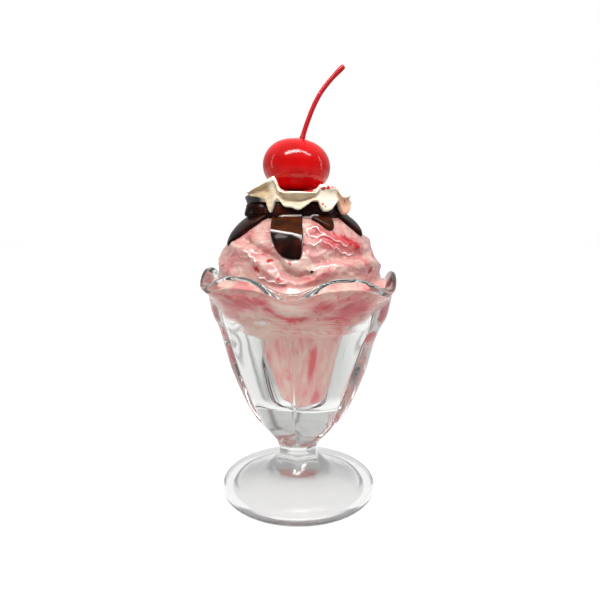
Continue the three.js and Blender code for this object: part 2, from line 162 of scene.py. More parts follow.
def shell(name, first_pole, rings, last_pole):
    """A closed smooth mesh from rings of points in millimetres, with a pole at each end."""
    rings = np.asarray(rings)
    count = rings.shape[1]
    points = np.vstack([[first_pole], rings.reshape(-1, 3), [last_pole]]) * MM
    start = 1 + np.arange(rings.shape[0])[:, None] * count
    here = start + np.arange(count)
    beside = start + (np.arange(count) + 1) % count
    quads = np.stack([here[:-1], beside[:-1], beside[1:], here[1:]], -1).reshape(-1, 4)
    last = len(points) - 1
    ends = [(0, int(b), int(a)) for a, b in zip(here[0], beside[0])]
    ends += [(last, int(a), int(b)) for a, b in zip(here[-1], beside[-1])]
    mesh = bpy.data.meshes.new(name)
    mesh.from_pydata(points.tolist(), [], quads.tolist() + ends)
    mesh.shade_smooth()
    piece = bpy.data.objects.new(name, mesh)
    bpy.context.scene.collection.objects.link(piece)
    return piece


def linear(code):
    """An sRGB hex colour as linear RGBA."""
    parts = [int(code[i : i + 2], 16) / 255 for i in (0, 2, 4)]
    return [p / 12.92 if p <= 0.04045 else ((p + 0.055) / 1.055) ** 2.4 for p in parts] + [1]


def add(tree, kind, sockets=None, stops=None, **settings):
    """Adds a node: what each socket gets, a value or a link, a ramp's stops, and settings.

    A node as a value means its first output in use.
    """
    made = tree.nodes.new("ShaderNode" + kind)
    for key, value in settings.items():
        setattr(made, key, value)
    for key, value in (sockets or {}).items():
        if isinstance(value, bpy.types.Node):
            value = next(output for output in value.outputs if output.enabled)
        if isinstance(value, bpy.types.NodeSocket):
            tree.links.new(value, made.inputs[key])
        else:
            made.inputs[key].default_value = value
    if stops:
        ramp = made.color_ramp
        while len(ramp.elements) < len(stops):
            ramp.elements.new(0.5)
        for element, (position, code) in zip(ramp.elements, stops):
            element.position = position
            element.color = linear(code)
    return made


def finish(name, build):
    """A material whose surface is what build returns for its node tree."""
    material = bpy.data.materials.new(name)
    material.use_nodes = True
    tree = material.node_tree
    tree.nodes.clear()
    add(tree, "OutputMaterial", {"Surface": build(tree)})
    return material


def pressed_soda_glass(tree):
    """Clear, faintly grey; the mould's chill and the fire polish leave slow waves."""
    at = add(tree, "TexCoord").outputs["Object"]
    wave = add(tree, "TexNoise", {"Vector": at, "Scale": 1 / (9 * MM), "Detail": 1.0})
    chill = add(tree, "TexNoise", {"Vector": at, "Scale": 1 / (2.2 * MM), "Detail": 2.0})
    both = add(tree, "Math", {0: chill, 1: 0.12, 2: wave}, operation="MULTIPLY_ADD")
    relief = add(tree, "Bump", {"Height": both, "Strength": 0.12, "Distance": 0.4 * MM})
    height = add(tree, "SeparateXYZ", {0: at}).outputs["Z"]
    worn = add(
        tree, "MapRange",
        {"Value": height, "From Min": 12 * MM, "From Max": 20 * MM, "To Min": 0.2, "To Max": 0.015},
        interpolation_type="SMOOTHSTEP",
    )
    # Painted shade: the glass is tinted greyer towards the foot, which darkens foot and stem.
    up = add(tree, "MapRange", {"Value": height, "From Min": 0.0, "From Max": 100 * MM})
    tint = add(
        tree, "ValToRGB", {"Fac": up},
        stops=[(0.1, "d2d1d1"), (0.18, "dfdfde"), (0.45, "eef0ed"), (0.8, "f6f8f5")],
    )
    glass = add(
        tree, "BsdfPrincipled",
        {
            "Base Color": tint, "Roughness": worn, "IOR": 1.5, "Transmission Weight": 1.0,
            "Normal": relief,
        },
    )
    # Lamps shine through it onto what it holds and what it stands on.
    clear = add(tree, "BsdfTransparent", {"Color": linear("f4f6f4")})
    lamp_light = add(tree, "LightPath").outputs["Is Shadow Ray"]
    return add(tree, "MixShader", {0: lamp_light, 1: glass, 2: clear})


# Columns stand closest along the grooves, where a sharp seam from the mould stands up.
near_groove = np.array([0, 0.25, 0.5, 0.8, 1.1, 1.5, 1.9, 2.3, 2.8])
near_groove = np.concatenate([-near_groove[:0:-1], near_groove])
between = np.arange(4.0, LOBE_SPAN - 3, 1.3)
one_lobe = np.concatenate([near_groove, between])
DISH_AZIMUTHS = GROOVE_AZIMUTH + np.concatenate([one_lobe + k * LOBE_SPAN for k in range(LOBES)])
# Height, and the seam's half width there. Only rings wider than the core have one.
SEAM = [(43, 0.0), (45, 1.15), (52, 0.95), (60, 0.6), (68, 0.38), (78, 0.25), (82, 0.0)]
SEAM_STEEP = 1.5
SEAM_PAST_RADIUS = 18
dish_rings = [on_dish(r, DISH_AZIMUTHS, z) for r, z in FOOT]
for z, lobe, groove in BOWL:
    pressed = lobed(DISH_AZIMUTHS, lobe, groove)
    waved = groove + (lobe - groove) * petal(DISH_AZIMUTHS)
    flare = soft_step(z, 78, 90)
    dish_rings.append(on_dish(pressed + (waved - pressed) * flare, DISH_AZIMUTHS, z))
dish_rings += [lip(lean, DISH_AZIMUTHS) for lean in (-84, -56, -28, 0, 28, 56, 84)]
dish_rings += [on_dish(r, DISH_AZIMUTHS, z) for z, r in reversed(HOLLOW)]
dish_rings.insert(-len(HOLLOW), wall_inside(DISH_AZIMUTHS, 0.5))
dish_rings = faired(dish_rings, 4)
dish_rings[..., 2] = np.maximum(dish_rings[..., 2], 0)
seam_across = np.radians(LOBE_SPAN / 2 - np.abs(off_lobe(DISH_AZIMUTHS)))
for ring in dish_rings:
    out, z = np.hypot(ring[:, 0], ring[:, 1]), ring[:, 2]
    wide = np.interp(z, *zip(*SEAM)) * (out > SEAM_PAST_RADIUS)
    rise = SEAM_STEEP * np.maximum(wide - seam_across * out, 0)
    ring[:, :2] *= (1 + rise / out)[:, None]
dish = shell("dish_of_pressed_glass", (0, 0, 8.8), dish_rings, (0, 0, HOLLOW_FLOOR))
dish.data.materials.append(finish("Soda glass, pressed and fire-polished", pressed_soda_glass))
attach(dish, "root")
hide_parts("glass")

# ---- The ice cream --------------------------------------------------------
# Soft strawberry ripple ice cream, packed into the hollow with a spoon until it
# touches the glass all round, and folded over into a mound above the rim. It has
# begun to melt, so it shines.

IN_THE_WALL = 0.15
# Height of the mound's centre, and how far its top lies above that.
DOME_Z = 104
DOME_TOP = 34.6
# Elevation, seen from that centre, where the fudge ends between its drips.
CAP_EDGE = 53

# Each fold: a path of azimuth and elevation seen from the mound's centre, its
# height and its half width.
FOLDS = [
    ([(-46, 33), (-24, 24.5), (-14, 19.5), (-9, 12.5), (-1, 8.5), (7, 10)], -2.3, 2.3),
    ([(-62, 30), (-36, 22), (-25, 15.5), (-17, 9.5), (-6, 3.2), (1, 4.4)], 1.5, 4.2),
    ([(1, 4.4), (13, 10.5), (23, 13), (36, 14.6), (58, 15.4), (80, 12)], 1.5, 4.2),
    ([(9, 17), (22, 20), (38, 21.5), (60, 22)], -1.1, 3.2),
    ([(-5, 34), (3, 32), (9.5, 28.6), (17, 30.5), (28, 27)], 0.9, 2.6),
    ([(8, 38), (13, 42), (19, 40.8), (25, 35), (34, 30), (50, 28)], 0.9, 2.6),
    ([(-95, 22), (-75, 14), (-58, 10), (-40, 6)], 1.1, 4.5),
    ([(96, 30), (118, 24), (140, 14), (162, 9), (186, 13)], 1.6, 4.4),
    ([(100, 22), (122, 16), (142, 6.5), (160, 2), (184, 6)], -1.9, 2.8),
    ([(186, 13), (208, 22), (228, 24), (252, 18)], 1.4, 4.2),
    ([(192, 32), (210, 36), (230, 33), (246, 26)], 0.9, 2.8),
]
# Broad swellings: azimuth, elevation, half width, half height, rise.
SWELLS = [
    (-3, 18, 13, 8, 1.5), (-70, 20, 22, 13, 0.3), (32, 30, 20, 12, -0.7),
    (-30, 38, 14, 10, -0.6), (150, 22, 22, 12, 0.7), (222, 28, 20, 12, -0.6),
]
# The fudge's drips: azimuth, elevation of the tip, half widths to the left and
# right at the cap, and how square each side is.
DRIPS = [
    (-65, 26.5, 24, 27, 1.5, 1.3), (-4, 19.3, 25, 8, 2.2, 9), (27.5, 40.5, 15, 9, 1.3, 3.5),
    (63, 34.5, 12, 20, 1.6, 1.6), (128, 29, 17, 15, 1.8, 2.6), (190, 37, 20, 15, 1.5, 2.2),
    (245, 39, 16, 18, 2.4, 1.6),
]


def curve(rows, column=1):
    """A smooth curve through rows sorted by their first number, that never overshoots."""
    x = np.array([row[0] for row in rows], float)
    y = np.array([row[column] for row in rows], float)
    step = np.diff(y) / np.diff(x)
    slope = np.concatenate([step[:1], np.zeros(len(y) - 2), step[-1:]])
    for i in range(1, len(y) - 1):
        if step[i - 1] * step[i] > 0:
            slope[i] = 2 * step[i - 1] * step[i] / (step[i - 1] + step[i])

    def at(value):
        value = np.clip(value, x[0], x[-1])
        i = np.clip(np.searchsorted(x, value, side="right") - 1, 0, len(x) - 2)
        width = x[i + 1] - x[i]
        t = (value - x[i]) / width
        start = y[i] + t * width * slope[i]
        end = y[i + 1] - (1 - t) * width * slope[i + 1]
        return start + (end - start) * t * t * (3 - 2 * t)

    return at


def bump(value, width):
    """1 in the middle, soft to both sides."""
    return np.exp(-((value / width) ** 2))


def note(piece, name, amounts):
    """Keeps a number for every point of a piece, for its material to read."""
    piece.data.attributes.new(name, "FLOAT", "POINT").data.foreach_set("value", amounts)


def points_of(piece):
    """The piece's points in millimetres, one column each for x, y and z."""
    flat = np.empty(3 * len(piece.data.vertices))
    piece.data.vertices.foreach_get("co", flat)
    return flat.reshape(-1, 3).T / MM


def turn(a, b):
    """Shortest way round from azimuth b to azimuth a."""
    return (a - b + 180) % 360 - 180


def away_from(path, azimuth, elevation):
    """Degrees of arc from each point to a path."""
    across = np.cos(np.radians(elevation))
    nearest = np.full(np.broadcast(azimuth, elevation).shape, 1e9)
    for (a0, e0), (a1, e1) in zip(path, path[1:]):
        px, py = turn(azimuth, a0) * across, elevation - e0
        sx, sy = turn(a1, a0) * across, e1 - e0
        t = np.clip((px * sx + py * sy) / (sx * sx + sy * sy), 0, 1)
        nearest = np.minimum(nearest, np.hypot(px - t * sx, py - t * sy))
    return nearest


def fudge_edge(azimuth):
    """Elevation where the fudge ends."""
    edge = np.full(np.shape(azimuth), float(CAP_EDGE))
    for at, tip, left, right, square_left, square_right in DRIPS:
        away = turn(azimuth, at)
        part = np.minimum(np.abs(away) / np.where(away < 0, left, right), 1)
        square = np.where(away < 0, square_left, square_right)
        edge = np.minimum(edge, tip + (CAP_EDGE - tip) * part**square)
    return edge


dome_reach = curve(
    [(-10, 37.9), (0, 37.9), (12, 37.4), (28, 37.4), (40, 37.1), (55, 36.5), (90, DOME_TOP)]
)


def mound_reach(azimuth, elevation):
    """How far the mound reaches from its centre, with folds and swellings."""
    relief = np.zeros(np.broadcast(azimuth, elevation).shape)
    for path, height, width in FOLDS:
        relief = relief + height * bump(away_from(path, azimuth, elevation), width)
    for at, middle, half_width, half_height, rise in SWELLS:
        near = bump(turn(azimuth, at), half_width) * bump(elevation - middle, half_height)
        relief = relief + rise * near
    under_fudge = soft_step(elevation - fudge_edge(azimuth), -2, 4)
    return dome_reach(elevation) + relief * (1 - 0.85 * under_fudge)


def on_mound(azimuth, elevation, above=0.0):
    """Points on the mound, or above it."""
    reach = mound_reach(azimuth, elevation) + above
    lift = np.radians(elevation)
    points = place(reach * np.cos(lift), azimuth, DOME_Z + reach * np.sin(lift))
    points[..., 0] += cup_shift(points[..., 2])
    return points


def wavering(azimuth, elevation, quick=1.0, much=0.75):
    """Shifts azimuth and elevation by a degree or less, so that drawn lines and spots waver."""
    return (
        azimuth + much * np.sin(quick * (0.95 * elevation + 0.45 * azimuth)),
        elevation + 0.8 * much * np.sin(quick * (0.8 * azimuth - 0.5 * elevation) + 1),
    )


# Sharp wet ridges, as paths of azimuth and elevation, each with a painted highlight along it:
# their height, half width and the half width of the painted highlight.
RIDGE_RISE = 0.5
RIDGE_WIDE = 0.8
PAINTED_GLEAM_WIDE = 0.6
RIDGES_WITH_PAINTED_GLEAMS = [
    [
        (6.7, 40), (6.8, 41), (12.5, 42.5), (16.6, 40.9), (20.9, 36.9), (26.1, 33), (32.9, 30.1),
        (37.6, 27.3),
    ],
    [(6.7, 40), (7.9, 36.5), (11, 34.6), (15.3, 36), (20.6, 36)],
    [
        (1.5, 33.5), (3.1, 30.5), (5.8, 29.2), (11.2, 28.9), (14.8, 30.9), (17.5, 32.2),
        (20.1, 30.3), (25.1, 26.7),
    ],
    [(-40.2, 24.7), (-34.3, 21.4), (-28.3, 17.9)], [(-35.8, 25.6), (-28.4, 23.2)],
    [(6, 12.6), (12, 13.6), (18, 15.6), (26, 15)], [(-26, 8.5), (-16, 5.6), (-8, 4.6)],
    [(27.1, 26.9), (33.5, 23.7), (42.7, 22.4)], [(-37.3, 44.6), (-25.1, 39.7)],
    [(118, 40), (131, 36), (142, 37.5), (150, 33)], [(205, 27), (216, 29.5), (228, 27)],
    [(-112, 33), (-101, 30), (-92, 31.5)], [(162, 26), (172, 24), (180, 26.5)],
]
# Red syrup that seeped out: azimuth, elevation, radius in degrees.
SYRUP = [
    (-28, 13, 2.1), (56.5, 11.5, 2.6), (43.4, 31.5, 3.1), (39.1, 34.7, 2.2), (48.1, 28.1, 2.2),
    (-5, 17, 1.1), (4.2, 24.3, 1.1), (-17.8, 38.5, 1.3), (-19.1, 19.4, 1.5), (-11.4, 8, 1.1),
    (31.5, 38.8, 1.0), (-44.5, 33.6, 0.9), (70, 20, 1.3), (-62, 14, 1.1), (112, 30, 1.8),
    (125, 12, 1.4), (158, 30, 1.6), (176, 18, 1.3), (200, 40, 1.4), (214, 20, 1.9),
    (236, 33, 1.2), (256, 12, 1.5),
]
# Rosy drifts of berry, and paler ones where the number is below 0: azimuth, height, half
# width in degrees, half height, how much. Two of the pale ones are painted light.
ROSY = [
    (-42, 98, 19, 5, 0.95), (40, 95.5, 15, 6, 1.9), (-20, 97, 4, 3, 1.6), (-16, 93.5, 5, 1.6, 1.5),
    (-7, 91.6, 8, 1.4, 1.7), (5, 92.3, 8, 1.5, 1.4), (17, 97, 8, 2.5, 1.1), (-5, 99, 11, 3.6, -1.0),
    # Painted light: the pale drift at -38 brightens the band where the painted white patch lies.
    (-38, 88, 16, 3, -1.0), (24, 88.5, 14, 2.4, -0.6),
    (18, 128, 11, 6, 0.8), (38, 123, 13, 5, 0.9), (-40, 118, 10, 4, 0.4), (12, 108, 14, 3, 0.4),
    # Painted light: the pale drift at -2 brightens a fold under the front drip that lies in shade.
    (40, 115, 16, 6, 0.5), (-2, 114, 8, 4, -1.2),
    # Strokes of syrup, dragged along the glass.
    (-42, 73, 5, 8, 1.7), (19, 71, 3.2, 9, 2.7), (30, 54, 4.5, 4, 2.5), (60, 66, 9, 9, 0.9),
    (-75, 62, 9, 9, 1.0), (130, 70, 6, 10, 1.6), (200, 64, 5, 10, 1.8), (250, 72, 6, 8, 1.4),
    (112, 97, 18, 6, 1.6), (168, 94, 18, 4, 1.4), (235, 97, 20, 6, 1.5), (140, 122, 14, 6, 0.7),
    (215, 118, 14, 6, 0.7),
]
# A painted highlight: a white patch seen through the glass. Its azimuth, height, half width in
# degrees, half height, and how much it climbs to the right.
PAINTED_WHITE_PATCH = (-38, 90, 13, 1.5, 0.03)
# The film of air between ice cream and glass: how high it reaches in front and behind, and
# how much higher at both sides.
FILM_TOP = 82
FILM_HIGHER = 8
# One dark spot, hardly longer than wide: azimuth and elevation, and its radius in degrees.
DARK_SPOT = (8.1, 12)
DARK_SPOT_RADIUS = 1.1

ICE_AZIMUTHS = GROOVE_AZIMUTH + np.arange(0, 360, 0.6)
fill_rings = [on_dish(r + IN_THE_WALL, ICE_AZIMUTHS, z - IN_THE_WALL / 2) for z, r in HOLLOW]
fill_rings += [wall_inside(ICE_AZIMUTHS, share, -IN_THE_WALL) for share in (0.25, 0.5)]
elevations = np.concatenate([np.arange(3, 57, 0.6), np.arange(57, 84, 2), [87]])
smooth_mound = []
for elevation in elevations:
    wavered = wavering(ICE_AZIMUTHS, elevation)
    ridge = np.max([bump(away_from(path, *wavered), RIDGE_WIDE) for path in RIDGES_WITH_PAINTED_GLEAMS], axis=0)
    smooth_mound.append(on_mound(ICE_AZIMUTHS, elevation + 0 * ICE_AZIMUTHS, RIDGE_RISE * ridge))
brim = faired([fill_rings[-2], fill_rings[-1], smooth_mound[0], smooth_mound[3]], 4)[5:8]
ice_rings = np.concatenate([faired(fill_rings, 4), brim, smooth_mound])
ice = shell(
    "strawberry_ripple_ice_cream", (0, 0, HOLLOW_FLOOR - IN_THE_WALL), ice_rings,
    (0, 0, DOME_Z + DOME_TOP),
)

x, y, z = points_of(ice)
ice_azimuth = np.degrees(np.arctan2(x, -y))
ice_elevation = np.degrees(np.arctan2(z - DOME_Z, np.hypot(x, y)))
wavered = wavering(ice_azimuth, ice_elevation)
# Painted highlight: where the pale lines lie along the ridges.
painted_gleam = np.max([bump(away_from(path, *wavered), PAINTED_GLEAM_WIDE) for path in RIDGES_WITH_PAINTED_GLEAMS], axis=0)
# The white patch is a painted highlight, added to the painted highlight lines.
azimuth, height, wide, tall, climbs = PAINTED_WHITE_PATCH
along = turn(ice_azimuth, azimuth)
painted_gleam += 0.95 * bump(along, wide) * bump(z - height - climbs * along, tall)
note(ice, "painted_gleam", painted_gleam)
syrup = np.zeros(len(x))
for azimuth, elevation, radius in SYRUP:
    spot = [(azimuth, elevation), (azimuth + 0.1, elevation)]
    syrup += bump(away_from(spot, *wavering(*wavered, 2.3, 0.33)), radius)
note(ice, "syrup", syrup)
rosy = np.zeros(len(x))
for azimuth, height, wide, tall, much in ROSY:
    rosy += much * bump(turn(ice_azimuth, azimuth), wide) * bump(z - height, tall)
note(ice, "rosy", rosy)
to_front = np.abs(turn(ice_azimuth, GROOVE_AZIMUTH))
to_front_or_back = np.minimum(to_front, np.abs(turn(ice_azimuth, 180 + GROOVE_AZIMUTH)))
film_edge = FILM_TOP + FILM_HIGHER * soft_step(to_front_or_back, 20, 80)
film_edge += 0.5 * np.sin(np.radians(7 * ice_azimuth + 3 * z))
note(ice, "film", 1 - soft_step(z, film_edge, film_edge + 3))
dark_spot = [DARK_SPOT, (DARK_SPOT[0] + 0.4, DARK_SPOT[1] - 0.1)]
note(ice, "dark_spot", bump(away_from(dark_spot, ice_azimuth, ice_elevation), DARK_SPOT_RADIUS))


def churned(point):
    """Relief in millimetres that the spoon and the churned-in air leave on the mound."""
    p = Vector((point.x, point.y, point.z * 1.6)) / MM
    drawn = noise.fractal(p / 7.0, 0.9, 2.1, 3)
    curds = 1 - abs(noise.noise(p / 4.1 + Vector((7, 1, 3))))
    return 0.42 * drawn + 0.36 * curds**3


for vertex in ice.data.vertices:
    open_air = float(soft_step(vertex.co.z / MM, 101, 104))
    if open_air > 0:
        away = (vertex.co - Vector((0, 0, DOME_Z * MM))).normalized()
        vertex.co += away * churned(vertex.co) * MM * open_air


def ripple_ice_cream(tree):
    """Pale pink with cream and rose streaks that follow the folds, wet and glossy. Painted
    highlight lines run along its ridges, and painted shade darkens it low in the dish.
    """
    rosy_at, syrup_at, painted_gleam_at, dark_spot_at, film_at = (
        add(tree, "Attribute", attribute_name=name).outputs["Fac"]
        for name in ("rosy", "syrup", "painted_gleam", "dark_spot", "film")
    )
    # Worked in millimetres: drifts 18 mm across, streaks 9, threads 3 and grain 1.4.
    at = add(tree, "TexCoord").outputs["Object"]
    mm = add(tree, "VectorMath", {0: at, "Scale": 1 / MM}, operation="SCALE")
    height = add(tree, "SeparateXYZ", {0: mm}).outputs["Z"]
    in_glass = add(
        tree, "MapRange", {"Value": height, "From Min": 92, "From Max": 84},
        interpolation_type="SMOOTHSTEP",
    )
    # The streaks lie folded in the mound, and are drawn up along the glass below.
    drift = add(tree, "TexNoise", {"Vector": mm, "Scale": 0.055, "Detail": 2.0}).outputs["Color"]
    pushed = add(tree, "VectorMath", {0: drift, 1: (22, 22, 22), 2: mm}, operation="MULTIPLY_ADD")
    folded = add(
        tree, "Mapping", {"Vector": pushed, "Scale": (0.8, 0.8, 2.0), "Rotation": (0, 0.3, 0)}
    )
    drawn = add(tree, "Mapping", {"Vector": mm, "Scale": (4.2, 4.2, 0.42)})
    lie = add(tree, "Mix", {"Factor": in_glass, "A": folded, "B": drawn}, data_type="VECTOR")
    streaks = add(
        tree, "TexNoise", {"Vector": lie, "Scale": 0.11, "Detail": 4.0, "Distortion": 0.5}
    )
    rose = add(tree, "Math", {0: rosy_at, 1: 0.22, 2: streaks}, operation="MULTIPLY_ADD")
    # Painted light: one pink in two copies, a darker one for the open mound and a paler, brighter
    # one behind the glass.
    open_air = add(
        tree, "ValToRGB", {"Fac": rose},
        stops=[
            (0.34, "be9f94"), (0.46, "ba8f86"), (0.57, "b47e79"), (0.67, "b06866"),
            (0.82, "ac3c40"),
        ],
    )
    behind_glass = add(
        tree, "ValToRGB", {"Fac": rose},
        stops=[
            (0.34, "f2d2c6"), (0.47, "f0bcb0"), (0.58, "eea8a2"), (0.68, "ec888a"),
            (0.84, "e2525c"),
        ],
    )
    under_rim = add(tree, "MapRange", {"Value": height, "From Min": 107, "From Max": 102})
    colour = add(
        tree, "Mix", {"Factor": under_rim, "A": open_air, "B": behind_glass}, data_type="RGBA"
    )
    # Painted shade: low in the dish the pink is darkened towards brown.
    shade = add(tree, "Math", {0: in_glass, 1: 0.2}, operation="MULTIPLY")
    # Fine threads of syrup, more of them where it is rosy; none low in the dish.
    threads = add(
        tree, "TexNoise", {"Vector": pushed, "Scale": 0.36, "Detail": 5.0, "Distortion": 1.6}
    )
    thread = add(tree, "Math", {0: rosy_at, 1: 0.06, 2: threads}, operation="MULTIPLY_ADD")
    thread = add(
        tree, "MapRange", {"Value": thread, "From Min": 0.57, "From Max": 0.7, "To Max": 0.6},
        interpolation_type="SMOOTHSTEP",
    )
    above = add(tree, "Math", {0: 1.0, 1: in_glass}, operation="SUBTRACT")
    thread = add(tree, "Math", {0: thread, 1: above}, operation="MULTIPLY")
    # Syrup and the painted highlight lines have ragged edges.
    grain = add(tree, "TexNoise", {"Vector": mm, "Scale": 0.7, "Detail": 3.0})
    seeped = add(tree, "Math", {0: grain, 1: 1.4, 2: syrup_at}, operation="MULTIPLY_ADD")
    red = add(
        tree, "MapRange", {"Value": seeped, "From Min": 0.92, "From Max": 1.26},
        interpolation_type="SMOOTHSTEP",
    )
    broken = add(tree, "Math", {0: grain, 1: 0.7, 2: painted_gleam_at}, operation="MULTIPLY_ADD")
    painted_gleam = add(
        tree, "MapRange", {"Value": broken, "From Min": 0.9, "From Max": 1.3, "To Max": 0.95},
        interpolation_type="SMOOTHSTEP",
    )
    black = add(tree, "MapRange", {"Value": dark_spot_at, "From Min": 0.35, "From Max": 0.7})
    # Behind the glass a film of air stays between: seen aslant from in the glass it mirrors.
    aslant = add(tree, "Fresnel", {"IOR": 1 / 1.5})
    film = add(tree, "Math", {0: aslant, 1: film_at}, operation="MULTIPLY")
    dull = add(tree, "MapRange", {"Value": film, "To Min": 0.34, "To Max": 0.03})
    for over, code in [
        (shade, "8c6458"), (thread, "b4484a"), (red, "9e0d15"), (painted_gleam, "fbf4f2"),
        (black, "1d0d0a"), (film, "ededed"),
    ]:
        colour = add(
            tree, "Mix", {"Factor": over, "A": colour, "B": linear(code)}, data_type="RGBA"
        )
    # Fine pores where it is open to the air; it lies smooth against the glass.
    in_air = add(
        tree, "MapRange", {"Value": height, "From Min": 99, "From Max": 104, "To Max": 0.4}
    )
    pores = add(tree, "Bump", {"Height": grain, "Strength": in_air, "Distance": 0.25 * MM})
    return add(
        tree, "BsdfPrincipled",
        {
            "Base Color": colour, "Metallic": film, "Roughness": dull, "IOR": 1.4,
            "Subsurface Weight": 0.15, "Subsurface Radius": (0.006, 0.003, 0.002),
            "Subsurface Scale": 0.3, "Coat Weight": 0.5, "Coat Roughness": 0.06,
            "Normal": pores, "Coat Normal": pores,
        },
    )


ice.data.materials.append(finish("Strawberry ripple ice cream, melting", ripple_ice_cream))
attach(ice, "root")
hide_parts("ice_cream")

# ---- The fudge ------------------------------------------------------------
# Dark chocolate fudge, poured warm on the mound: it set as a thick pad with a
# rounded wall under the cream, a thin cap round it, and drips that ran down.

FUDGE_GAP = 0.05
FUDGE_THICK = 1.5
# Azimuth of the wide drip's middle, in front.
FRONT_DRIP = -12
PAD_TOP = 140.6
# Lumps in the pad's wall: azimuth, half width, how far they stand out.
PAD_LUMPS = [
    (-66, 13, 2.1), (-22, 5, 2.0), (-42, 5, -0.5), (14, 10, 0.5), (150, 9, 1.0), (-150, 8, 0.9),
]
# A crease runs across the front drip, where a second pour stopped.
CREASE = [(-24, 37.2), (-19.9, 36.9), (-11.3, 35.5), (-4.4, 34.6), (0.4, 32.8), (4, 31)]
# The line where pad and cap meet, with a painted highlight along it.
PAD_FOOT = [(-20.4, 51.6), (-12, 52.2), (-2, 52.2), (8, 52.8), (20, 52.6)]


def around(rows, column=1):
    """A smooth curve as from curve, through rows that go once round."""
    ring = [(row[0] + by, row[column]) for by in (-360, 0, 360) for row in rows]
    along = curve(ring)
    return lambda azimuth: along(turn(azimuth, 0))


pad_radius = around(
    [
        (-130, 21.9), (-75, 23.1), (-50, 22.7), (-32, 21.7), (0, 22.2), (60, 21.6),
        (120, 21.8), (170, 22.4),
    ]
)


def crease_line(azimuth):
    """Elevation of the crease, as a straight line."""
    return 34.6 - 0.17 * (azimuth + 4)


def skirt(part, outside):
    """A ring of the cap and its drips, part of the way up from their edge."""
    edge = fudge_edge(FUDGE_AZIMUTHS)
    elevation = edge + (CAP_EDGE + 1.5 - edge) * part
    thin = 1 - np.minimum((elevation - edge) / 4, 1)
    above = FUDGE_THICK * np.sqrt(np.maximum(1 - thin**2, 0)) if outside else 0
    if outside:
        crease = bump(away_from(CREASE, FUDGE_AZIMUTHS, elevation), 0.9)
        above = above + 0.35 + 0.35 * crease * np.minimum((elevation - edge) / 2, 1)
        line = crease_line(FUDGE_AZIMUTHS)
        swollen = soft_step(elevation, 19, line) * (1 - soft_step(elevation, line, line + 2))
        within = 1 - soft_step(np.abs(FUDGE_AZIMUTHS - FRONT_DRIP), 15, 20)
        above = above + 1.5 * swollen * within * np.minimum((elevation - edge) / 3, 1)
    return on_mound(FUDGE_AZIMUTHS, elevation, FUDGE_GAP + above)


FUDGE_AZIMUTHS = np.arange(-180, 180, 1.0)
level = 0 * FUDGE_AZIMUTHS
fudge_rings = [on_mound(FUDGE_AZIMUTHS, e + level, FUDGE_GAP) for e in (82, 74, 66, 60)]
fudge_rings += [skirt(part, False) for part in (1, 0.8, 0.6, 0.4, 0.2, 0.08)]
outer = [0, 0.015, 0.03, 0.05, 0.075, 0.1, 0.14, 0.18] + list(np.arange(0.22, 1.001, 0.026))
fudge_rings += [skirt(part, True) for part in outer]
# The pad's rounded wall: how far past its radius, and height.
pad_wall = [(0.75, 135.4), (0.6, 136.6), (0.1, 138.7), (-0.5, 139.7), (-1.6, PAD_TOP - 0.3)]
pad_rings = [place(pad_radius(FUDGE_AZIMUTHS) + past, FUDGE_AZIMUTHS, z) for past, z in pad_wall]
fudge_rings += list(faired(pad_rings + [place(14, FUDGE_AZIMUTHS, PAD_TOP)], 3))
fudge = shell(
    "fudge_sauce_cap_and_drips", (0, 0, DOME_Z + DOME_TOP + FUDGE_GAP), fudge_rings,
    (0, 0, PAD_TOP),
)

x, y, z = points_of(fudge)
fudge_azimuth = np.degrees(np.arctan2(x, -y))
fudge_elevation = np.degrees(np.arctan2(z - DOME_Z, np.hypot(x, y)))
# It is thin above the crease in front, and down the drip at the right.
past_crease = fudge_elevation - crease_line(fudge_azimuth)
off_front = np.abs(fudge_azimuth - FRONT_DRIP)
thin_in_front = soft_step(past_crease, 0, 2) * (1 - soft_step(off_front, 18, 22))
thin_at_right = 0.7 * bump(turn(fudge_azimuth, 27), 9)
note(fudge, "thin", np.maximum(thin_in_front, thin_at_right) * (1 - soft_step(z, 133.0, 134.5)))
# Painted highlights: pale lines along the crease and the line at the pad's foot.
fudge_painted_gleam = 0.9 * bump(away_from(CREASE, fudge_azimuth, fudge_elevation), 0.6)
along_foot = away_from(PAD_FOOT, fudge_azimuth, fudge_elevation)
note(fudge, "painted_gleam", np.maximum(fudge_painted_gleam, 0.9 * bump(along_foot, 0.5)))
for vertex, height in zip(fudge.data.vertices, z):
    if 134.6 < height < PAD_TOP - 0.2:
        out = Vector((vertex.co.x, vertex.co.y, 0)).normalized()
        way = math.degrees(math.atan2(vertex.co.x, -vertex.co.y))
        lump = 0.2 + 0.55 * noise.noise(vertex.co / (3.4 * MM))
        for at, wide, rise in PAD_LUMPS:
            lump += rise * bump(turn(way, at), wide)
        vertex.co += out * lump * MM
        if height < 139:
            vertex.co.z -= max(lump - 1.4, 0) * MM


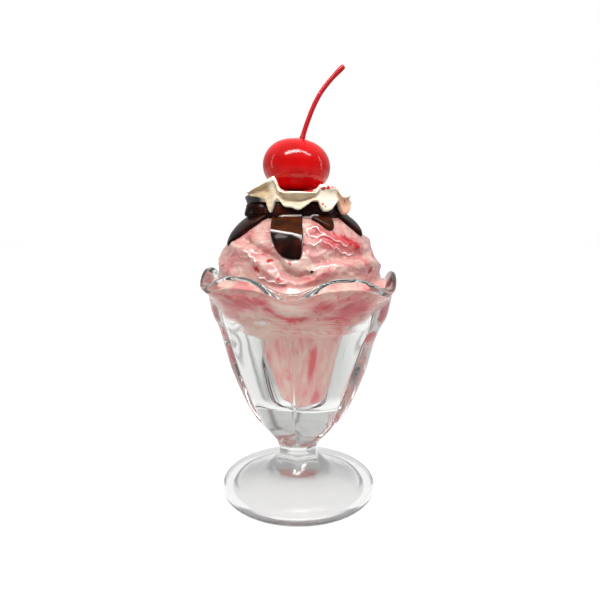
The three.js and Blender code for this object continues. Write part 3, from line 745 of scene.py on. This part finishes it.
def set_fudge(tree):
    """Near black where it is thick, brown where it ran thin, with a wet gloss and painted highlight
    lines.
    """
    thin_at, painted_gleam_at = (
        add(tree, "Attribute", attribute_name=name).outputs["Fac"] for name in ("thin", "painted_gleam")
    )
    at = add(tree, "TexCoord").outputs["Object"]
    cloud = add(tree, "TexNoise", {"Vector": at, "Scale": 1 / (6 * MM), "Detail": 3.0})
    thick = add(
        tree, "ValToRGB", {"Fac": cloud},
        stops=[(0.4, "120504"), (0.55, "220a06"), (0.66, "3a140b")],
    )
    thin = add(
        tree, "ValToRGB", {"Fac": cloud},
        stops=[(0.35, "240d04"), (0.5, "381706"), (0.65, "46210b")],
    )
    colour = add(tree, "Mix", {"Factor": thin_at, "A": thick, "B": thin}, data_type="RGBA")
    # Painted highlight: pale along the crease and the pad's foot.
    colour = add(
        tree, "Mix", {"Factor": painted_gleam_at, "A": colour, "B": linear("efe6e2")}, data_type="RGBA"
    )
    lumps = add(tree, "TexNoise", {"Vector": at, "Scale": 1 / (5 * MM), "Detail": 1.0})
    relief = add(tree, "Bump", {"Height": lumps, "Strength": 0.15, "Distance": 0.6 * MM})
    return add(
        tree, "BsdfPrincipled",
        {
            "Base Color": colour, "Roughness": 0.3, "IOR": 1.4, "Specular IOR Level": 0.05,
            "Coat Weight": 0.22, "Coat Roughness": 0.08, "Coat IOR": 1.35,
            "Normal": relief, "Coat Normal": relief,
        },
    )


fudge.data.materials.append(finish("Dark chocolate fudge, set glossy", set_fudge))
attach(fudge, "root")
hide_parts("fudge_sauce")

# ---- The whipped cream ----------------------------------------------------
# A ring of whipped cream, piped in folds on the pad and squashed by the cherry.
# Its lips are thin and curl; their undersides lie in shade, the faces are painted darker as painted
# shade, and the lips lighter as painted light.

CREAM_FLOOR = PAD_TOP + 0.05
# Round the ring: azimuth, reach of the lip, its underside, its crest.
CREAM = [
    (-180, 24.4, 138.5, 147.4), (-165, 24.9, 140.8, 148.4), (-150, 24.6, 140.5, 148.2),
    (-136, 23.6, 138.0, 146.0), (-122, 23.6, 138.8, 146.6), (-110, 24.9, 140.2, 148.0),
    (-98, 24.6, 141.2, 147.2), (-78, 24.7, 142.8, 145.2), (-64, 24.9, 143.0, 145.2),
    (-58, 25.0, 142.6, 145.8), (-48, 25.0, 142.2, 147.0), (-38, 24.8, 141.5, 148.6),
    (-34, 25.0, 139.8, 149.3), (-30.8, 25.3, 137.0, 149.9), (-28.6, 25.3, 135.8, 150.3),
    (-26.6, 25.1, 137.6, 150.7), (-24.4, 24.7, 140.4, 149.4), (-21, 24.4, 141.2, 145.4),
    (-17.5, 24.6, 139.6, 144.6), (-12.6, 25.1, 138.0, 144.4), (-7, 25.2, 137.7, 144.4),
    (-0.5, 25.3, 136.8, 144.4), (5, 25.2, 137.8, 144.3), (10, 25.0, 139.2, 144.2),
    (16.6, 24.8, 140.5, 144.2), (19.6, 24.8, 140.4, 145.2), (22, 25.3, 138.2, 147.2),
    (27, 25.5, 136.2, 147.4), (33, 25.6, 136.8, 146.8), (40, 25.4, 139.6, 146.4),
    (46, 24.6, 140.6, 145.0), (50, 24.8, 136.6, 143.6), (55, 25.2, 135.0, 143.2),
    (62, 25.4, 136.2, 143.6), (70, 25.0, 138.6, 143.8), (82, 24.4, 140.4, 143.6),
    (94, 23.8, 141.4, 145.8), (106, 24.8, 139.6, 147.6), (116, 25.0, 138.0, 148.2),
    (128, 24.2, 140.4, 147.0), (140, 24.0, 141.0, 146.8), (152, 25.0, 138.4, 148.2),
    (160, 24.8, 137.6, 147.8),
]
CREAM_AZIMUTHS = np.arange(-180, 180, 1.0)
cream_reach = around(CREAM, 1)(CREAM_AZIMUTHS)
cream_under = around(CREAM, 2)(CREAM_AZIMUTHS)
cream_top = around(CREAM, 3)(CREAM_AZIMUTHS)
cream_inner = pad_radius(CREAM_AZIMUTHS) + 0.9
cream_face = cream_top - cream_under
# How far the face is drawn in between its two lips.
cream_hollow = around(
    [
        (-150, 1.4), (-122, 0.4), (-100, 1.2), (-60, 0.5), (-40, 1.4), (-27, 0.6), (-20, 2.2),
        (-10, 2.8), (8, 2.8), (16, 2.0), (20, 0.8), (30, 0.5), (45, 0.2), (60, 1.0), (80, 0.4),
        (95, 1.6), (116, 0.4), (140, 1.8), (165, 0.5),
    ]
)(CREAM_AZIMUTHS)

# The cherry, which presses its own form into the middle of the cream: its centre, its
# radius, and how far it leans to the right in degrees.
CHERRY_CENTRE = Vector((-1.05, -0.6, 156.04))
CHERRY_RADIUS = 15.47
CHERRY_TILT = 7.7
# How the radius changes with the sine of the elevation, and its first to fourth power.
CHERRY_OUTLINE = (0.0891, -0.1947, -0.0157, -0.0215)


def cherry_points(azimuth, elevation):
    """Points on its skin, puckered round the stalk with shallow pleats that run up to it."""
    lift = np.radians(elevation)
    pleats = 0.012 * soft_step(elevation, 50, 76) * np.cos(lift)
    pleats = pleats * np.sin(np.radians(4 * azimuth + 40))
    out = 1 + pleats + 0.022 * bump(elevation - 82, 4)
    for power, much in enumerate(CHERRY_OUTLINE, 1):
        out = out + much * np.sin(lift) ** power
    out = out * CHERRY_RADIUS
    points = place(out * np.cos(lift), azimuth, out * np.sin(lift))
    tilt = math.radians(CHERRY_TILT)
    x, z = points[..., 0].copy(), points[..., 2].copy()
    points[..., 0] = x * math.cos(tilt) + z * math.sin(tilt)
    points[..., 2] = z * math.cos(tilt) - x * math.sin(tilt)
    return points + np.array(CHERRY_CENTRE)


# The cream's seat lies this far under the cherry.
SEAT_GAP = np.array((0, 0, 0.2))


def cream_ring(radius, z):
    """A ring of the cream, with its own radius and height at each azimuth."""
    return place(radius, CREAM_AZIMUTHS, z)


cream_lap = np.clip(cream_under + 0.8, 137.4, CREAM_FLOOR - 0.3)
cream_rings = faired(
    [
        cream_ring(12, CREAM_FLOOR),
        cream_ring(cream_inner - 0.9, CREAM_FLOOR),
        cream_ring(cream_inner, cream_lap),
        cream_ring(cream_inner * 0.55 + cream_reach * 0.45, cream_under),
        cream_ring(cream_reach - 0.1, cream_under + 0.15),
        cream_ring(cream_reach + 0.1, cream_under + 0.1 * cream_face),
        cream_ring(cream_reach - 0.3 - 0.35 * cream_hollow, cream_under + 0.3 * cream_face),
        cream_ring(cream_reach - 0.5 - cream_hollow, cream_under + 0.55 * cream_face),
        cream_ring(cream_reach - 0.4 - 0.9 * cream_hollow, cream_under + 0.78 * cream_face),
        cream_ring(cream_reach - 0.2, cream_under + 0.92 * cream_face),
        cream_ring(cream_reach - 0.9, cream_top),
        cream_ring(cream_reach - 2.2, cream_top - 0.2),
        cream_ring(cream_reach - 3.4, np.minimum(cream_top - 0.6, 0.6 * cream_top + 58)),
        cream_ring(17.6, np.minimum(cream_top - 0.2, 145.6)),
        cherry_points(CREAM_AZIMUTHS, -58 + 0 * CREAM_AZIMUTHS) - SEAT_GAP,
    ],
    5,
)
cream = shell(
    "whipped_cream_folds", (0, 0, CREAM_FLOOR), cream_rings, cherry_points(0.0, -90.0) - SEAT_GAP
)

x, y, z = points_of(cream)
cream_azimuth = np.degrees(np.arctan2(x, -y))
cream_out = np.hypot(x, y)
under = around(CREAM, 2)(cream_azimuth)
up_face = (z - under) / (around(CREAM, 3)(cream_azimuth) - under)
# Painted light and shade: the faces between the lips get darker beige, the lips and tops lighter
# ivory; how dark each face is painted changes round the ring.
face_painted_lightness = around(
    [
        (-150, 0.6), (-100, 0.4), (-60, 0.0), (-36, 0.0), (-27, 0.4), (-20, 0.35), (10, 0.35),
        (19, 0.4), (23, 0.85), (40, 0.9), (47, 0.2), (64, 0.1), (90, 0.5), (140, 0.6),
    ]
)(cream_azimuth)
between_lips = soft_step(up_face, 0.03, 0.14) * (1 - soft_step(up_face, 0.82, 0.93))
on_face = between_lips * soft_step(cream_out, 17.5, 19)
note(cream, "pale", 1 - on_face * (1 - face_painted_lightness))
# Red syrup off the cherry: azimuth, height, radius in millimetres.
DROPS = [
    (24, 139.2, 0.7), (26.5, 138.2, 0.5), (-27.6, 137.6, 0.5), (25, 145.6, 0.8), (30, 146.3, 0.9),
    (35, 146.6, 0.8), (39, 146.2, 0.6), (66, 142.4, 1.0), (58, 141.0, 0.7), (130, 146.6, 1.2),
    (-140, 146.0, 1.1), (175, 146.9, 0.9),
]
cream_syrup = np.zeros(len(x))
for azimuth, height, radius in DROPS:
    along = np.radians(turn(cream_azimuth, azimuth)) * cream_out
    cream_syrup += bump(np.hypot(along, z - height), radius) * soft_step(cream_out, 19, 21)
# Some lies on the crest in front, and it pools round the cherry.
in_front = soft_step(cream_azimuth, -22, -14) * (1 - soft_step(cream_azimuth, 16, 24))
on_crest = soft_step(up_face, 0.9, 1.0) * in_front
pooled = soft_step(cream_out, 7, 9) * (1 - soft_step(cream_out, 17.2, 19.6)) * (z > 142.5)
note(cream, "syrup", cream_syrup + 0.42 * on_crest + 0.8 * pooled)
# Fudge squeezed up under the left petal, and a chunk at the right that the berry tinted.
squeezed = bump(turn(cream_azimuth, -72), 30) * (1 - soft_step(z - under, 0.2, 0.9))
note(cream, "fudge", soft_step(squeezed, 0.25, 0.5))
tinted = bump(turn(cream_azimuth, 56), 9) * (1 - soft_step(up_face, 0.7, 1.0))
note(cream, "peach", tinted * soft_step(cream_out, 18, 20))


def whipped_cream(tree):
    """Ivory with painted light and shade: lighter lips over beige faces painted darker as if in
    shade; satiny, with faint drawn ridges.
    """
    painted_lightness_at, peach_at, fudge_at, syrup_at = (
        add(tree, "Attribute", attribute_name=name).outputs["Fac"]
        for name in ("pale", "peach", "fudge", "syrup")
    )
    at = add(tree, "TexCoord").outputs["Object"]
    drawn = add(tree, "Mapping", {"Vector": at, "Scale": (1, 1, 3)})
    ridges = add(tree, "TexNoise", {"Vector": drawn, "Scale": 1 / (4 * MM), "Detail": 3.0})
    # Painted shade on the faces, painted light on the lips.
    face = add(tree, "ValToRGB", {"Fac": ridges}, stops=[(0.35, "a58c6c"), (0.62, "c2a983")])
    lip = add(tree, "ValToRGB", {"Fac": ridges}, stops=[(0.35, "e0d4be"), (0.6, "efe7d7")])
    colour = add(tree, "Mix", {"Factor": painted_lightness_at, "A": face, "B": lip}, data_type="RGBA")
    runs = add(tree, "Math", {0: ridges, 1: 0.8, 2: syrup_at}, operation="MULTIPLY_ADD")
    red = add(tree, "MapRange", {"Value": runs, "From Min": 0.75, "From Max": 1.0})
    for over, code in [(peach_at, "dc9c80"), (fudge_at, "190807"), (red, "c8202a")]:
        colour = add(
            tree, "Mix", {"Factor": over, "A": colour, "B": linear(code)}, data_type="RGBA"
        )
    relief = add(tree, "Bump", {"Height": ridges, "Strength": 0.3, "Distance": 0.4 * MM})
    return add(
        tree, "BsdfPrincipled",
        {
            "Base Color": colour, "Roughness": 0.4, "IOR": 1.4, "Subsurface Weight": 0.1,
            "Subsurface Radius": (0.004, 0.003, 0.002), "Subsurface Scale": 0.3,
            "Normal": relief,
        },
    )


cream.data.materials.append(finish("Whipped cream, satin", whipped_cream))
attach(cream, "root")
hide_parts("whipped_cream")

# ---- The cherry -----------------------------------------------------------
# A cocktail cherry, dyed red and steeped in syrup, pressed into the cream with
# its stalk end up and leaning to the right. The skin is thin, taut and very wet.

CHERRY_AZIMUTHS = np.arange(0, 360, 1.5)
cherry = shell(
    "cocktail_cherry",
    cherry_points(0.0, -90.0),
    [cherry_points(CHERRY_AZIMUTHS, e + 0 * CHERRY_AZIMUTHS) for e in np.arange(-88.5, 89, 1.5)],
    cherry_points(0.0, 90.0),
)


def syrup_cherry(tree):
    """Saturated red, darker where the flesh is thick, under a clear wet coat."""
    at = add(tree, "TexCoord").outputs["Object"]
    cloud = add(tree, "TexNoise", {"Vector": at, "Scale": 1 / (11 * MM), "Detail": 2.0})
    colour = add(tree, "ValToRGB", {"Fac": cloud}, stops=[(0.35, "a60103"), (0.6, "ba0204")])
    return add(
        tree, "BsdfPrincipled",
        {
            "Base Color": colour, "Roughness": 0.35, "IOR": 1.4, "Specular IOR Level": 0.0,
            "Subsurface Weight": 0.1, "Subsurface Radius": (0.008, 0.001, 0.001),
            "Subsurface Scale": 0.4, "Coat Weight": 1.0, "Coat Roughness": 0.12,
            "Coat IOR": 1.42,
        },
    )


cherry.data.materials.append(finish("Cherry skin in red syrup", syrup_cherry))
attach(cherry, "root")
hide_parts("cherry")

# ---- The stalk ------------------------------------------------------------
# The cherry's own stalk, dyed with it: it stands in the dimple, curves to the
# right and ends in the small knob that held it to the twig.

STALK_PATH = [
    (1.65, 169.3), (2.9, 173.4), (4.6, 178.2), (6.7, 183.4), (9.9, 189.4), (14.4, 195.2),
    (20.3, 201.2),
]
stalk_line = faired([[(x, -0.4 + 0.05 * (z - 170), z)] for x, z in STALK_PATH], 12)[:, 0]
stalk_radius = curve([(0, 1.4), (0.12, 1.12), (0.85, 1.08), (0.97, 1.25), (1, 1.05)])
stalk_share = np.linspace(0, 1, len(stalk_line))
stalk_along = np.gradient(stalk_line, axis=0)
stalk_along /= np.linalg.norm(stalk_along, axis=1)[:, None]
stalk_side = np.cross((0, 1, 0), stalk_along)
stalk_side /= np.linalg.norm(stalk_side, axis=1)[:, None]
stalk_deep = np.cross(stalk_along, stalk_side)
turned = np.radians(np.arange(0, 360, 22.5))[None, :, None]
stalk_rings = (
    stalk_line[:, None]
    + stalk_radius(stalk_share)[:, None, None]
    * (stalk_side[:, None] * np.sin(turned) - stalk_deep[:, None] * np.cos(turned))
)
stalk = shell("cherry_stalk_dyed", stalk_line[0], stalk_rings, stalk_line[-1])


def dyed_stalk(tree):
    """Deep red with darker streaks along it, and a sheen of syrup."""
    at = add(tree, "TexCoord").outputs["Object"]
    drawn = add(tree, "Mapping", {"Vector": at, "Scale": (1, 1, 0.2)})
    streak = add(tree, "TexNoise", {"Vector": drawn, "Scale": 1 / (0.8 * MM)})
    colour = add(tree, "ValToRGB", {"Fac": streak}, stops=[(0.38, "a00b15"), (0.62, "b4121c")])
    return add(
        tree, "BsdfPrincipled",
        {
            "Base Color": colour, "Roughness": 0.4, "IOR": 1.4, "Specular IOR Level": 0.3,
            "Coat Weight": 0.5, "Coat Roughness": 0.15, "Coat IOR": 1.3,
        },
    )


stalk.data.materials.append(finish("Cherry stalk, dyed", dyed_stalk))
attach(stalk, "root")
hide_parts("cherry_stalk")

# ---- The table, the light and the camera ----------------------------------
# A white table top that runs back out of sight and glows evenly too, in a pale room with darker
# uprights; glass and gloss see pale and dark bands painted on the table, painted light and shade
# of that room. Two soft strips hang above the front, with dim uprights at both sides, a low fill
# and a ceiling light.


def uprights(tree, x, y):
    """Grey by the way that a spot lies from the dish: pale behind it, with darker uprights."""
    way = add(tree, "Math", {0: x, 1: y}, operation="ARCTAN2")
    aside = add(tree, "Math", {0: way}, operation="ABSOLUTE")
    share = add(tree, "MapRange", {"Value": aside, "From Max": math.pi})
    return add(
        tree, "ValToRGB", {"Fac": share},
        stops=[
            (0.0, "e6e6e6"), (0.06, "e0e0e0"), (0.075, "8c8c8c"), (0.09, "dcdcdc"),
            (0.114, "d8d8d8"), (0.122, "969696"), (0.132, "d6d6d6"), (0.15, "d4d4d4"),
            (0.17, "909090"), (0.20, "d4d4d4"), (0.25, "d0d0d0"), (0.27, "8c8c8c"),
            (0.30, "cecece"), (0.38, "bababa"), (0.5, "9c9c9c"), (1.0, "747474"),
        ],
    )


def seen_or_mirrored(tree, seen, mirrored):
    """One colour for who looks straight at it, and another for glass and gloss to find."""
    straight = add(tree, "LightPath").outputs["Is Camera Ray"]
    return add(tree, "Mix", {"Factor": straight, "A": mirrored, "B": seen}, data_type="RGBA")


def white_table(tree):
    """Matt white laminate. The dish sees it with painted light and shade, in pale and dark bands as
    of a lit room.
    """
    at = add(tree, "TexCoord").outputs["Object"]
    speck = add(tree, "TexNoise", {"Vector": at, "Scale": 1 / (25 * MM)})
    white = add(tree, "ValToRGB", {"Fac": speck}, stops=[(0.4, "f4f4f4"), (0.6, "f6f6f6")])
    parts = add(tree, "SeparateXYZ", {0: at})
    room = uprights(tree, parts.outputs["X"], parts.outputs["Y"])
    off = add(tree, "VectorMath", {0: at}, operation="LENGTH")
    far = add(tree, "MapRange", {"Value": off, "From Min": 0.06, "From Max": 0.15})
    room = add(tree, "Mix", {"Factor": far, "A": linear("e6e6e6"), "B": room}, data_type="RGBA")
    room = add(tree, "Mix", {"Factor": 0.08, "A": room, "B": linear("000000")}, data_type="RGBA")
    colour = seen_or_mirrored(tree, white, room)
    laminate = add(tree, "BsdfPrincipled", {"Base Color": colour, "Roughness": 0.7})
    # It glows too, so that hardly a shadow lies on it: an even white to the camera, and painted
    # light in pale and dark bands to glass and gloss.
    even = seen_or_mirrored(tree, linear("ffffff"), room)
    straight = add(tree, "LightPath").outputs["Is Camera Ray"]
    bright = add(tree, "MapRange", {"Value": straight, "To Min": 1.7, "To Max": 1.0})
    glow = add(tree, "Emission", {"Color": even, "Strength": bright})
    return add(tree, "MixShader", {0: 0.75, 1: laminate, 2: glow})


table_mesh = bpy.data.meshes.new("table_top")
table_mesh.from_pydata([(-3, -3, 0), (3, -3, 0), (3, 3, 0), (-3, 3, 0)], [], [(0, 1, 2, 3)])
table_mesh.materials.append(finish("Laminate, matt white", white_table))
table = bpy.data.objects.new("table_top", table_mesh)
bpy.context.scene.collection.objects.link(table)


def soft_light(name, stands, towards, size, watts, in_gloss=True, in_glass=True, roll=0):
    """A soft box that doesn't show itself. Gloss may mirror it and glass may show it, or not."""
    lamp = bpy.data.lights.new(name, "AREA")
    lamp.shape = "RECTANGLE"
    lamp.size, lamp.size_y = size
    lamp.energy = watts
    made = bpy.data.objects.new(name, lamp)
    made.location = stands
    made.rotation_euler = (Vector(towards) - Vector(stands)).to_track_quat("-Z", "Y").to_euler()
    made.rotation_euler.rotate_axis("Z", math.radians(roll))
    made.visible_camera = False
    made.visible_glossy, made.visible_transmission = in_gloss, in_glass
    bpy.context.scene.collection.objects.link(made)


MIDDLE = (0, 0, 0.12)
soft_light("strip_front_left", (-0.13, -0.39, 0.78), MIDDLE, (0.58, 0.16), 7.2, roll=28)
soft_light("strip_front_right", (0.30, -0.30, 0.67), MIDDLE, (0.34, 0.10), 1.7, roll=-52)
soft_light("upright_left", (-0.66, 0.02, 0.30), MIDDLE, (0.05, 0.5), 0.3, in_glass=False)
soft_light("upright_right", (0.66, 0.02, 0.30), MIDDLE, (0.05, 0.5), 0.3, in_glass=False)
soft_light("low_fill_in_front", (0.05, -0.45, 0.03), (0, 0, 0.09), (0.7, 0.04), 0.8, False, False)
soft_light("ceiling", (0.1, 0.1, 1.3), MIDDLE, (0.6, 0.6), 3, False, False)
soft_light("over_the_table_behind", (0, 1.7, 1.2), (0, 1.7, 0), (3.6, 2.6), 70, False, False)

world = bpy.data.worlds.new("Pale backdrop in a dim room")
bpy.context.scene.world = world
world.use_nodes = True
sky = world.node_tree
direction = add(sky, "SeparateXYZ", {0: add(sky, "TexCoord").outputs["Generated"]})
room = uprights(sky, direction.outputs["X"], direction.outputs["Y"])
high = add(
    sky, "MapRange", {"Value": direction.outputs["Z"], "From Min": 0.35, "From Max": 0.8},
    interpolation_type="SMOOTHSTEP",
)
room = add(sky, "Mix", {"Factor": high, "A": room, "B": linear("d8d8d8")}, data_type="RGBA")
backdrop = seen_or_mirrored(sky, linear("ffffff"), room)
sky.links.new(backdrop.outputs["Result"], sky.nodes["Background"].inputs["Color"])
straight = add(sky, "LightPath").outputs["Is Camera Ray"]
dim = add(sky, "MapRange", {"Value": straight, "To Min": 0.8})
sky.links.new(dim.outputs["Result"], sky.nodes["Background"].inputs["Strength"])

# The focal length as a share of the frame's width, and how far the camera looks down.
FOCAL_SHARE = 0.85
LOOKS_DOWN = 8.5
view = bpy.data.cameras.new("camera")
view.sensor_width = 36
view.lens = FOCAL_SHARE * view.sensor_width
view.shift_x = 0.0025
view.clip_start = 0.01
camera = bpy.data.objects.new("camera", view)
camera.location = (0, -0.2416, 0.131)
camera.rotation_euler = (math.radians(90 - LOOKS_DOWN), 0, 0)
bpy.context.scene.collection.objects.link(camera)
bpy.context.scene.camera = camera

cycles = bpy.context.scene.cycles
cycles.max_bounces = 20
cycles.transmission_bounces = 20
cycles.use_denoising = True
bpy.context.scene.view_settings.view_transform = "Standard"
